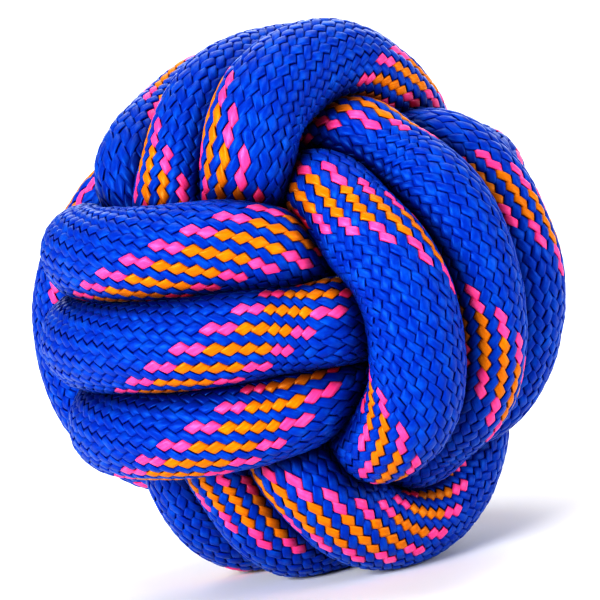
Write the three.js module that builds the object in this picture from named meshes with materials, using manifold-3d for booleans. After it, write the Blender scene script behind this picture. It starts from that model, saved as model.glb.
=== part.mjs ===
// A tug and fetch ball for a dog: one length of braided rope, tied round a small filler ball
// in a knot of three rings, each of three turns. Millimetres, +Z up, resting on its flattened underside.
//
// The rings cross at right angles. The belt goes round the upright axis and lies on top at the front
// and back. The wheel goes round the side axis and lies on top at the right and left. The hoop goes
// round the front axis and lies on top above and below. Each ring's turns dive under the next ring.

import * as THREE from 'three';
import { mergeVertices } from 'three/addons/utils/BufferGeometryUtils.js';
import Module from 'manifold-3d';

// Rope
const ropeDiameter = 12;
const coverWall = 1.5;
const coreClearance = 0.35;
const sealLength = 2;
const sealClearance = 0.3;

const fillerBallDiameter = 13.2;

// Between two stretches of rope: of their soft surfaces, and of their flat facets
const strandGap = 0.7;
const facetGap = 0.5;

// The knot follows its rope, so these are shares of the rope's diameter. Reaches are measured from
// the middle of the ball to the middle of the rope, and pitches from turn to turn.
const outerReachShare = 2.495;
const outerSideDropShare = 0.118;
const innerReachShare = 1.618;
const innerSideDropShare = 0.25;
const waistDepthShare = 0.2;
const outerPitchShare = 0.942;
const innerPitchShare = 0.858;

// How much of the lowest turns is pressed flat where the ball rests
const restCutShare = 0.1;

// A turn runs over the outside, then under the crossing turns. Its angle is counted from the first
// inner pass of its ring, so its outer passes lie at 90, 270, 450, 630, 810 and 990 degrees.
const turnsPerRing = 3;
const degreesPerTurn = 360;
const ringDegrees = turnsPerRing * degreesPerTurn;
const firstOuterPass = 90;
const passDegrees = 180;
const sampleDegrees = 2;
const shiftDegrees = 50;
const joinTrimDegrees = 28;
const endOverrunDegrees = 14;
const waistWavesPerTurn = 3;
const endPlaceShare = 1.36;

// How far each outer pass stands proud of the even knot, and how far it has slid along its own run,
// as shares of the rope's diameter. Rope tied by hand never lies quite evenly.
const beltLiftShares = [0, 0, 0, 0, 0, -0.36];
const beltSlideShares = [-0.15, 0, -0.12, 0, -0.12, 0];
const wheelLiftShares = [0.06, 0.14, 0, 0, -0.18, -0.1];
const wheelSlideShares = [-0.28, -0.3, -0.05, 0, 0, 0];
const hoopLiftShares = [0.06, 0.07, 0.06, -0.12, 0.12, -0.3];
const hoopSlideShares = [0, 0.35, 0, 0.05, 0, -0.2];

// How the rope settles when the knot is drawn tight, as shares of the rope's diameter
const lineSpacingShare = 0.25;
const joinPullShare = 0.633;
const joinSteps = 25;
const ownReachShare = 1.4;
const outerSpacingShare = 0.94;
const innerSpacingShare = 0.78;
const freeDepthShare = 1.3;
const heldDepthShare = 2;
const spacingBlendShare = 0.8;
const straightEndShare = 1;
const settleSteps = 160;
const pushShare = 0.5;
const stiffnessShare = 0.25;
const slackShare = 0.12;
const evenShare = 0.25;
const holdShare = 0.3;

// Facets: sections along the rope, closer where it bends, and the sides of each
const straightSpacingShare = 1.3;
const bendStepDegrees = 34;
const easeShare = 0.04;
const nearbyShare = 1.9;
const coverSides = 8;
const boreSides = 5;
const linePointsPerSpan = 3;
const lineTension = 0.5;
const bendShare = 0.92;
const ballSegments = 14;
const ballRings = 10;

// A sealed end from where it meets the cover to its free face: places along it, and widths there
const sealPlaceShares = [0, 0.6, 1];
const sealWidthShares = [1, 0.92, 0.7];

const ropeRadius = ropeDiameter / 2;
const fillerBallRadius = fillerBallDiameter / 2;

function smoothStep(value) {
  const t = Math.min(Math.max(value, 0), 1);
  return t * t * (3 - 2 * t);
}

// The rope's place across its ring, in pitches: one turn at -1, one at 0 and one at 1, moving over
// in the inner passes. The two ends of the ring lie outside the three turns.
function placeAcross(degrees) {
  const span = 2 * shiftDegrees;
  let place = -1;
  for (let turn = 1; turn < turnsPerRing; turn += 1) {
    place += smoothStep((degrees - turn * degreesPerTurn + shiftDegrees) / span);
  }
  const extra = endPlaceShare - 1;
  place -= extra * (1 - smoothStep(degrees / shiftDegrees));
  place += extra * smoothStep((degrees - ringDegrees + shiftDegrees) / shiftDegrees);
  return place;
}

// One ring as points. Each has its distance out from the knot's middle, its run along the pass and
// its place across, which toKnot turns into x, y and z.
function ringPoints({ startDegrees, direction, acrossSign, liftShares, slideShares, early, late, toKnot }) {
  const points = [];
  for (let turned = -early; turned <= ringDegrees + late; turned += sampleDegrees) {
    const angle = THREE.MathUtils.degToRad(startDegrees + direction * turned);
    const place = acrossSign * placeAcross(turned);
    const side = Math.min(place * place, 1);
    const reach = ropeDiameter * (outerReachShare - outerSideDropShare * place * place);
    const inner = ropeDiameter * (innerReachShare - innerSideDropShare * side);
    const waist = ropeDiameter * waistDepthShare * Math.sin(waistWavesPerTurn * angle);
    const pass = THREE.MathUtils.clamp(Math.floor(turned / passDegrees), 0, liftShares.length - 1);
    const fromPass = THREE.MathUtils.degToRad(turned - firstOuterPass - pass * passDegrees);
    const bulge = Math.abs(Math.cos(fromPass)) * ropeDiameter;
    const outward = Math.sign(Math.cos(angle)) * liftShares[pass] * bulge;
    const out = reach * Math.cos(angle) + outward;
    const run = inner * Math.sin(angle) + waist + slideShares[pass] * bulge;
    const spread = innerPitchShare + (outerPitchShare - innerPitchShare) * Math.cos(angle) ** 2;
    points.push(toKnot(out, run, ropeDiameter * spread * place));
  }
  return points;
}

function beltPoints() {
  return ringPoints({
    startDegrees: -90,
    direction: 1,
    acrossSign: 1,
    liftShares: beltLiftShares,
    slideShares: beltSlideShares,
    early: endOverrunDegrees,
    late: 0,
    toKnot: (out, run, across) => new THREE.Vector3(run, -out, across),
  });
}

function wheelPoints() {
  return ringPoints({
    startDegrees: 90,
    direction: -1,
    acrossSign: -1,
    liftShares: wheelLiftShares,
    slideShares: wheelSlideShares,
    early: 0,
    late: 0,
    toKnot: (out, run, across) => new THREE.Vector3(out, -across, run),
  });
}

function hoopPoints() {
  return ringPoints({
    startDegrees: 270,
    direction: -1,
    acrossSign: -1,
    liftShares: hoopLiftShares,
    slideShares: hoopSlideShares,
    early: 0,
    late: endOverrunDegrees,
    toKnot: (out, run, across) => new THREE.Vector3(across, -run, out),
  });
}

// The corner where the rope leaves one ring and starts the next
function joinPoints(before, after) {
  const pull = ropeDiameter * joinPullShare;
  const start = before[before.length - 1];
  const end = after[0];
  const leave = start.clone().sub(before[before.length - 2]).setLength(pull).add(start);
  const arrive = end.clone().sub(after[1]).setLength(pull).add(end);
  const corner = new THREE.CubicBezierCurve3(start, leave, arrive, end);
  return corner.getPoints(joinSteps).slice(1, -1);
}

function respaced(points, spacing) {
  const lengths = [0];
  for (let i = 1; i < points.length; i += 1) {
    lengths.push(lengths[i - 1] + points[i].distanceTo(points[i - 1]));
  }
  const total = lengths[lengths.length - 1];
  const spans = Math.round(total / spacing);
  const result = [];
  let from = 0;
  for (let i = 0; i <= spans; i += 1) {
    const along = (total * i) / spans;
    while (from < points.length - 2 && lengths[from + 1] < along) {
      from += 1;
    }
    const share = (along - lengths[from]) / (lengths[from + 1] - lengths[from]);
    result.push(points[from].clone().lerp(points[from + 1], share));
  }
  return result;
}

function evenKnot() {
  const trim = joinTrimDegrees / sampleDegrees;
  const belt = beltPoints().slice(0, -trim);
  const wheel = wheelPoints().slice(trim, -trim);
  const hoop = hoopPoints().slice(trim);
  const line = [...belt, ...joinPoints(belt, wheel), ...wheel, ...joinPoints(wheel, hoop), ...hoop];
  return respaced(line, ropeDiameter * lineSpacingShare);
}

function reachOf(point) {
  return Math.max(Math.abs(point.x), Math.abs(point.y), Math.abs(point.z));
}

// Every pair of points that lie on different stretches of the rope, with the spacing they want
function spacedPairs(line, ownSpan) {
  const reaches = line.map(reachOf);
  const pairs = [];
  for (let i = 0; i < line.length; i += 1) {
    for (let j = i + ownSpan; j < line.length; j += 1) {
      const depth = Math.min(reaches[i], reaches[j]) / ropeDiameter;
      const outside = smoothStep((depth - freeDepthShare) / spacingBlendShare);
      const share = innerSpacingShare + (outerSpacingShare - innerSpacingShare) * outside;
      pairs.push([i, j, share * ropeDiameter]);
    }
  }
  return pairs;
}

function pushApart(line, pairs) {
  const moves = line.map(() => new THREE.Vector3());
  const counts = line.map(() => 0);
  const between = new THREE.Vector3();
  for (const [i, j, wanted] of pairs) {
    const squared = line[i].distanceToSquared(line[j]);
    if (squared < wanted * wanted && squared > 0) {
      const distance = Math.sqrt(squared);
      between.subVectors(line[i], line[j]).multiplyScalar(pushShare * (wanted / distance - 1) / 2);
      moves[i].add(between);
      moves[j].sub(between);
      counts[i] += 1;
      counts[j] += 1;
    }
  }
  line.forEach((point, i) => point.addScaledVector(moves[i], 1 / Math.sqrt(Math.max(counts[i], 1))));
}

function fairBends(line) {
  const bends = line.map(() => new THREE.Vector3());
  for (let i = 1; i < line.length - 1; i += 1) {
    bends[i].addVectors(line[i - 1], line[i + 1]).multiplyScalar(0.5).sub(line[i]);
  }
  const fair = bends.map((bend) => bend.clone());
  for (let i = 1; i < line.length - 1; i += 1) {
    fair[i].addScaledVector(bends[i - 1], -0.5).addScaledVector(bends[i + 1], -0.5);
  }
  line.forEach((point, i) => {
    point.addScaledVector(fair[i], stiffnessShare);
    point.addScaledVector(bends[i], stiffnessShare * slackShare);
  });
}

function evenOut(line) {
  const spans = [];
  for (let i = 1; i < line.length; i += 1) {
    spans.push(line[i].clone().sub(line[i - 1]));
  }
  const mean = spans.reduce((sum, span) => sum + span.length(), 0) / spans.length;
  spans.forEach((span, i) => {
    const length = span.length();
    span.multiplyScalar((evenShare * (length - mean)) / length);
    line[i].add(span);
    line[i + 1].sub(span);
  });
}

// The cut ends stay straight for one diameter
function straightenEnds(line) {
  const count = Math.round(straightEndShare / lineSpacingShare);
  for (const end of [line, [...line].reverse()]) {
    for (let i = 1; i < count; i += 1) {
      end[i].lerpVectors(end[0], end[count], i / count);
    }
  }
}

function clearOfBall(line) {
  const nearest = fillerBallRadius + ropeRadius;
  for (const point of line) {
    const distance = point.length();
    if (distance < nearest) {
      point.multiplyScalar(1 + (nearest / distance - 1) / 2);
    }
  }
}

// Drawing the knot tight: turns that lie too close push each other aside, while the outer passes
// keep near the even knot. Hidden turns crowd more than the ones outside.
function settledKnot() {
  const line = evenKnot();
  const home = line.map((point) => point.clone());
  const holds = home.map((point) => {
    const depth = reachOf(point) / ropeDiameter;
    return holdShare * smoothStep((depth - freeDepthShare) / (heldDepthShare - freeDepthShare));
  });
  const pairs = spacedPairs(home, Math.round(ownReachShare / lineSpacingShare));
  for (let step = 0; step < settleSteps; step += 1) {
    pushApart(line, pairs);
    fairBends(line);
    evenOut(line);
    evenOut(line);
    line.forEach((point, i) => point.lerp(home[i], holds[i]));
    clearOfBall(line);
    straightenEnds(line);
  }
  return line;
}

// The settled rope as a fine line: places, distances along it, and a frame that doesn't twist
function ropeLine() {
  const knots = settledKnot();
  const curve = new THREE.CatmullRomCurve3(knots, false, 'catmullrom', lineTension);
  const points = curve.getPoints((knots.length - 1) * linePointsPerSpan);
  const along = [0];
  for (let i = 1; i < points.length; i += 1) {
    along.push(along[i - 1] + points[i].distanceTo(points[i - 1]));
  }
  const tangents = points.map((point, i) => {
    const next = points[Math.min(i + 1, points.length - 1)];
    return next.clone().sub(points[Math.max(i - 1, 0)]).normalize();
  });
  const normals = [new THREE.Vector3(0, 0, 1).cross(tangents[0]).negate().normalize()];
  for (let i = 1; i < points.length; i += 1) {
    const normal = normals[i - 1].clone();
    normals.push(normal.addScaledVector(tangents[i], -normal.dot(tangents[i])).normalize());
  }
  const binormals = tangents.map((tangent, i) => tangent.clone().cross(normals[i]));
  const bends = points.map((point, i) => {
    const before = Math.max(i - 1, 0);
    const after = Math.min(i + 1, points.length - 1);
    return tangents[after].clone().sub(tangents[before]).divideScalar(along[after] - along[before]);
  });
  return { points, along, tangents, normals, binormals, bends };
}

// Distance from a point of the line to the rope's surface in one direction. Soft rope is round where
// it is free, and flat where it meets another stretch, the filler ball or the inside of its own bend.
function softRadius(line, index, direction) {
  const centre = line.points[index];
  const ownReach = ownReachShare * ropeDiameter;
  let radius = ropeRadius;
  const between = new THREE.Vector3();
  for (let i = 0; i < line.points.length; i += 1) {
    if (Math.abs(line.along[i] - line.along[index]) > ownReach) {
      between.subVectors(line.points[i], centre);
      const squared = between.lengthSq();
      const towards = between.dot(direction);
      if (towards > 0 && squared < (ropeDiameter + strandGap) ** 2) {
        radius = Math.min(radius, (squared - strandGap * Math.sqrt(squared)) / (2 * towards));
      }
    }
  }
  const bend = line.bends[index].dot(direction);
  if (bend > 0) {
    radius = Math.min(radius, bendShare / bend);
  }
  const keep = fillerBallRadius + strandGap;
  const towardsBall = -centre.dot(direction);
  const under = keep * keep - centre.lengthSq() + towardsBall * towardsBall;
  if (towardsBall > 0 && under > 0) {
    radius = Math.min(radius, towardsBall - Math.sqrt(under));
  }
  return radius;
}

function rayDirection(line, index, angle) {
  const direction = line.normals[index].clone().multiplyScalar(Math.cos(angle));
  return direction.addScaledVector(line.binormals[index], Math.sin(angle));
}

function coverSection(line, index) {
  const radii = [];
  for (let side = 0; side < coverSides; side += 1) {
    const angle = (2 * Math.PI * side) / coverSides;
    radii.push(softRadius(line, index, rayDirection(line, index, angle)));
  }
  return radii;
}

// Distance from the middle to a straight side of the section
function sectionRadius(radii, angle) {
  const wedge = (2 * Math.PI) / radii.length;
  const side = Math.floor(angle / wedge);
  const first = radii[side % radii.length];
  const second = radii[(side + 1) % radii.length];
  const past = angle - side * wedge;
  return (first * second * Math.sin(wedge)) / (first * Math.sin(past) + second * Math.sin(wedge - past));
}

function ringOf(line, index, sides, radiusAt) {
  const ring = [];
  for (let side = 0; side < sides; side += 1) {
    const angle = (2 * Math.PI * side) / sides;
    const direction = rayDirection(line, index, angle);
    ring.push(line.points[index].clone().addScaledVector(direction, radiusAt(angle)));
  }
  return ring;
}

// The point of the line nearest to a distance along the rope
function indexAt(line, distance) {
  const index = line.along.findIndex((along) => along >= distance);
  return index < 0 ? line.along.length - 1 : index;
}

// Where the sections lie between two distances: evenly on a straight, closer together in a bend
function sectionIndices(line, start, end) {
  const first = indexAt(line, start);
  const last = indexAt(line, end);
  const bendStep = THREE.MathUtils.degToRad(bendStepDegrees);
  const counts = [0];
  for (let i = first + 1; i <= last; i += 1) {
    const step = line.along[i] - line.along[i - 1];
    const straight = step / (straightSpacingShare * ropeDiameter);
    counts.push(counts[counts.length - 1] + straight + (step * line.bends[i].length()) / bendStep);
  }
  const total = counts[counts.length - 1];
  const sections = Math.round(total);
  const indices = [];
  for (let i = 0; i <= sections; i += 1) {
    const wanted = (total * i) / sections;
    indices.push(first + counts.findIndex((count) => count >= wanted - Number.EPSILON * total));
  }
  return indices;
}

// The side wall of a tube through rings of points, as triangles that face outward
function addWall(triangles, first, sides, rings, inward) {
  for (let ring = 0; ring < rings - 1; ring += 1) {
    for (let side = 0; side < sides; side += 1) {
      const a = first + ring * sides + side;
      const b = first + ring * sides + ((side + 1) % sides);
      const c = b + sides;
      const d = a + sides;
      triangles.push(...(inward ? [a, d, b, b, d, c] : [a, b, d, b, c, d]));
    }
  }
}

// A flat end between the cover's outline and its bore
function addRimEnd(triangles, outer, outerSides, inner, innerSides, facesBack) {
  let i = 0;
  let j = 0;
  while (i < outerSides || j < innerSides) {
    const outerNow = outer + (i % outerSides);
    const innerNow = inner + (j % innerSides);
    const outerDue = (i + 1) / outerSides <= (j + 1) / innerSides;
    const outerTurn = i < outerSides && (j === innerSides || outerDue);
    const next = outerTurn ? outer + ((i + 1) % outerSides) : inner + ((j + 1) % innerSides);
    triangles.push(...(facesBack ? [outerNow, innerNow, next] : [outerNow, next, innerNow]));
    i += outerTurn ? 1 : 0;
    j += outerTurn ? 0 : 1;
  }
}

function addDiscEnd(triangles, first, sides, facesBack) {
  for (let side = 1; side < sides - 1; side += 1) {
    const a = first + side;
    const b = first + side + 1;
    triangles.push(...(facesBack ? [first, b, a] : [first, a, b]));
  }
}

function geometryOf(points, triangles) {
  const geometry = new THREE.BufferGeometry();
  const places = points.flatMap((point) => point.toArray());
  geometry.setAttribute('position', new THREE.Float32BufferAttribute(places, 3));
  geometry.setIndex(triangles);
  geometry.computeVertexNormals();
  return geometry;
}

function hollowTube(outerRings, innerRings) {
  const outerSides = outerRings[0].length;
  const innerSides = innerRings[0].length;
  const innerFirst = outerRings.length * outerSides;
  const triangles = [];
  addWall(triangles, 0, outerSides, outerRings.length, false);
  addWall(triangles, innerFirst, innerSides, innerRings.length, true);
  addRimEnd(triangles, 0, outerSides, innerFirst, innerSides, true);
  const lastOuter = (outerRings.length - 1) * outerSides;
  const lastInner = innerFirst + (innerRings.length - 1) * innerSides;
  addRimEnd(triangles, lastOuter, outerSides, lastInner, innerSides, false);
  return geometryOf([...outerRings.flat(), ...innerRings.flat()], triangles);
}

function solidTube(rings) {
  const sides = rings[0].length;
  const triangles = [];
  addWall(triangles, 0, sides, rings.length, false);
  addDiscEnd(triangles, 0, sides, true);
  addDiscEnd(triangles, (rings.length - 1) * sides, sides, false);
  return geometryOf(rings.flat(), triangles);
}

// The facets of the cover between each section and the next, with the points where gaps are measured:
// corners, and the middles of edges and facets. Each names the corners that it hangs on.
function coverSpans(rings) {
  const spans = [];
  for (let i = 0; i < rings.length - 1; i += 1) {
    const facets = [];
    const probes = [];
    for (let side = 0; side < coverSides; side += 1) {
      const next = (side + 1) % coverSides;
      const corners = [[i, side], [i, next], [i + 1, next], [i + 1, side]];
      const [a, b, c, d] = corners.map(([ring, at]) => rings[ring][at]);
      for (const [triangle, held] of [[[a, b, d], [0, 1, 3]], [[b, c, d], [1, 2, 3]]]) {
        const facet = new THREE.Triangle(...triangle);
        const hangsOn = held.map((k) => corners[k]);
        facets.push({ facet, hangsOn });
        probes.push({ point: facet.getMidpoint(new THREE.Vector3()), hangsOn });
      }
      probes.push({ point: a, hangsOn: [corners[0]] });
      probes.push({ point: a.clone().lerp(b, 0.5), hangsOn: [corners[0], corners[1]] });
      probes.push({ point: a.clone().lerp(d, 0.5), hangsOn: [corners[0], corners[3]] });
      probes.push({ point: b.clone().lerp(d, 0.5), hangsOn: [corners[1], corners[3]] });
    }
    spans.push({ facets, probes });
  }
  return spans;
}

// The least gap between two stretches of the cover, measured from points to facets, and the corners
// that stand closer to another stretch than wanted
function measureGaps(line, indices, rings, wanted) {
  const spans = coverSpans(rings);
  const crowded = new Set();
  const closest = new THREE.Vector3();
  const ownReach = ownReachShare * ropeDiameter;
  const middles = spans.map((span, i) => (
    line.points[indices[i]].clone().lerp(line.points[indices[i + 1]], 0.5)
  ));
  let least = ropeDiameter;
  for (let i = 0; i < spans.length; i += 1) {
    for (let j = 0; j < spans.length; j += 1) {
      const apart = line.along[indices[Math.max(i, j)]] - line.along[indices[Math.min(i, j) + 1]];
      if (apart > ownReach && middles[i].distanceTo(middles[j]) < ropeDiameter * nearbyShare) {
        for (const probe of spans[i].probes) {
          for (const { facet, hangsOn } of spans[j].facets) {
            const distance = facet.closestPointToPoint(probe.point, closest).distanceTo(probe.point);
            least = Math.min(least, distance);
            if (distance < wanted) {
              for (const [ring, side] of [...probe.hangsOn, ...hangsOn]) {
                crowded.add(ring * coverSides + side);
              }
            }
          }
        }
      }
    }
  }
  return { least, crowded };
}

function coverRingsOf(line, indices, sections) {
  return indices.map((index, i) => (
    ringOf(line, index, coverSides, (angle) => sectionRadius(sections[i], angle))
  ));
}

// The sections pressed in a little more wherever flat facets come too near another stretch
function easedSections(line, indices) {
  const sections = indices.map((index) => coverSection(line, index));
  const crowdedNow = () => (
    measureGaps(line, indices, coverRingsOf(line, indices, sections), facetGap).crowded
  );
  for (let crowded = crowdedNow(); crowded.size > 0; crowded = crowdedNow()) {
    for (const corner of crowded) {
      sections[Math.floor(corner / coverSides)][corner % coverSides] *= 1 - easeShare;
    }
  }
  return sections;
}

const wasm = await Module();
wasm.setup();

function solidOf(geometry) {
  const bare = geometry.clone();
  bare.deleteAttribute('normal');
  bare.deleteAttribute('uv');
  const merged = mergeVertices(bare);
  const vertProperties = new Float32Array(merged.attributes.position.array);
  const triVerts = new Uint32Array(merged.index.array);
  return new wasm.Manifold(new wasm.Mesh({ numProp: 3, vertProperties, triVerts }));
}

function geometryOfSolid(solid) {
  const mesh = solid.getMesh();
  const geometry = new THREE.BufferGeometry();
  geometry.setAttribute('position', new THREE.Float32BufferAttribute(mesh.vertProperties, 3));
  geometry.setIndex(new THREE.BufferAttribute(new Uint32Array(mesh.triVerts), 1));
  geometry.computeVertexNormals();
  return geometry;
}

// The cover pressed flat where the ball rests
function restedCover(geometry) {
  geometry.computeBoundingBox();
  const box = geometry.boundingBox;
  const depth = restCutShare * ropeDiameter;
  const size = box.getSize(new THREE.Vector3()).addScalar(ropeDiameter);
  const slab = new THREE.BoxGeometry(size.x, size.y, ropeDiameter);
  const middle = box.getCenter(new THREE.Vector3());
  slab.translate(middle.x, middle.y, box.min.z + depth - ropeDiameter / 2);
  return geometryOfSolid(solidOf(geometry).subtract(solidOf(slab)));
}

// A heat-sealed end: a short plug of melted yarn, narrowing to its free face
function sealRings(line, atStart) {
  const end = line.along[line.along.length - 1];
  const rings = sealPlaceShares.map((share, i) => {
    const fromTip = sealLength * (1 - share);
    const index = indexAt(line, atStart ? fromTip : end - fromTip);
    const radii = coverSection(line, index);
    return ringOf(line, index, coverSides, (angle) => sectionRadius(radii, angle) * sealWidthShares[i]);
  });
  return atStart ? rings.reverse() : rings;
}

function material(color, roughness) {
  return new THREE.MeshStandardMaterial({ color, roughness, metalness: 0 });
}

function named(name, geometry, meshMaterial) {
  const mesh = new THREE.Mesh(geometry, meshMaterial);
  mesh.name = name;
  return mesh;
}

const line = ropeLine();
const ropeEnd = line.along[line.along.length - 1];
const coverStart = sealLength + sealClearance;
const indices = sectionIndices(line, coverStart, ropeEnd - coverStart);
const sections = easedSections(line, indices);
const coverRings = coverRingsOf(line, indices, sections);
const boreRings = indices.map((index, i) => (
  ringOf(line, index, boreSides, (angle) => sectionRadius(sections[i], angle) - coverWall)
));
const coreRings = indices.map((index, i) => (
  ringOf(line, index, boreSides, (angle) => sectionRadius(sections[i], angle) - coverWall - coreClearance)
));

const { least } = measureGaps(line, indices, coverRings, facetGap);
console.log(`rope length ${ropeEnd.toFixed(0)} mm, least gap to itself ${least.toFixed(3)} mm`);

const ball = new THREE.Group();
const cover = named('rope_cover', restedCover(hollowTube(coverRings, boreRings)), material(0x0b3fd0, 0.55));
ball.add(cover);
ball.add(named('rope_core', solidTube(coreRings), material(0xe9e6dc, 0.9)));
ball.add(named('start_end_seal', solidTube(sealRings(line, true)), material(0x081c5c, 0.35)));
ball.add(named('finish_end_seal', solidTube(sealRings(line, false)), material(0x081c5c, 0.35)));
const filler = new THREE.SphereGeometry(fillerBallRadius, ballSegments, ballRings);
filler.rotateX(Math.PI / 2);
ball.add(named('filler_ball', filler, material(0xb98a55, 0.6)));

// The origin lies under the middle of the ball, on the surface it rests on
cover.geometry.computeBoundingBox();
const outline = cover.geometry.boundingBox;
const middle = outline.getCenter(new THREE.Vector3());
ball.position.set(-middle.x, -middle.y, -outline.min.z);

const part = new THREE.Group();
part.add(ball);
export default part;
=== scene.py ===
"""Dresses a rope ball for a dog: braided cover yarns, core, melted ends, filler ball and studio.

The ball is one length of round braided rope, tied in a knot of three rings with three turns each.
The rope's middle line is worked out once, given a soft skin that is flat where two stretches press
on each other, and every yarn of the braid is laid on that skin. Sizes are in millimetres in the
rope's own classes, and metres where Blender objects are made.
"""

import logging
import math
from dataclasses import dataclass, field
from enum import Enum

import bpy
import numpy as np
from mathutils import Matrix, Vector


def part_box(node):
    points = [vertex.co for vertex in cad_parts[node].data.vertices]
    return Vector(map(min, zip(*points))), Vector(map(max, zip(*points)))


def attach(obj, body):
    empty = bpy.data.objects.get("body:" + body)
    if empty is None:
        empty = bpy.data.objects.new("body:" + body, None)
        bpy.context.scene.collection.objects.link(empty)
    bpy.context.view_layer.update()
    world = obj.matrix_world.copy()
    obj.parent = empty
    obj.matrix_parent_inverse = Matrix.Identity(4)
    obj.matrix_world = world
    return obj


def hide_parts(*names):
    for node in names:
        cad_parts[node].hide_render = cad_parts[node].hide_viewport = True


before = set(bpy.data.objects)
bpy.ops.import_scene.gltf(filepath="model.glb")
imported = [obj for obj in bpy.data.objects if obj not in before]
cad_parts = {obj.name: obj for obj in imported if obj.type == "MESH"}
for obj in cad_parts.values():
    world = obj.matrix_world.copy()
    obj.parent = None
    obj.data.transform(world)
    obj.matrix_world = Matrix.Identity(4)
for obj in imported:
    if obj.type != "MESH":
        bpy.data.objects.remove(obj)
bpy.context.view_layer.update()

log = logging.getLogger("rope_ball")
METRES_PER_MM = 0.001
IMAGE_PX = 600
FULL_TURN, HALF_TURN, QUARTER_TURN = 360, 180, 90
TINY = 1e-6
Array = np.ndarray
Colour = tuple[float, float, float]
Pair = tuple[float, float]


def smooth_step(value: Array) -> Array:
    """Eases from 0 to 1.

    Args:
        value: Where to read the ease; it is clipped to 0 and 1.

    Returns:
        The eased values, in the same shape.
    """
    t = np.clip(value, 0.0, 1.0)
    return t * t * (3 - 2 * t)


def angles_round(sides: int) -> Array:
    """Even angles once round, in radians."""
    return 2 * np.pi * np.arange(sides) / sides


@dataclass(frozen=True)
class RingPlan:
    """How one ring of the knot is tied: where it starts, which way it runs, and where it lies."""

    start_degrees: float
    direction: int
    across_sign: int
    out_axis: tuple[int, int, int]
    run_axis: tuple[int, int, int]
    across_axis: tuple[int, int, int]
    lifts: tuple[float, ...] = (0.0,) * 6
    slides: tuple[float, ...] = (0.0,) * 6
    early_degrees: float = 0.0
    late_degrees: float = 0.0


BELT = RingPlan(
    -90, 1, 1, (0, -1, 0), (1, 0, 0), (0, 0, 1),
    lifts=(0.0, 0.0, 0.0, 0.0, 0.0, -0.36),
    slides=(-0.15, 0.0, -0.12, 0.0, -0.12, 0.0),
    early_degrees=14,
)
WHEEL = RingPlan(
    90, -1, -1, (1, 0, 0), (0, 0, 1), (0, -1, 0),
    lifts=(0.06, 0.14, 0.0, 0.0, -0.18, -0.1),
    slides=(-0.28, -0.3, -0.05, 0.0, 0.0, 0.0),
)
HOOP = RingPlan(
    270, -1, -1, (0, 0, 1), (0, -1, 0), (1, 0, 0),
    lifts=(0.06, 0.07, 0.06, -0.12, 0.12, -0.3),
    slides=(0.0, 0.35, 0.0, 0.05, 0.0, -0.2),
    late_degrees=14,
)


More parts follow.
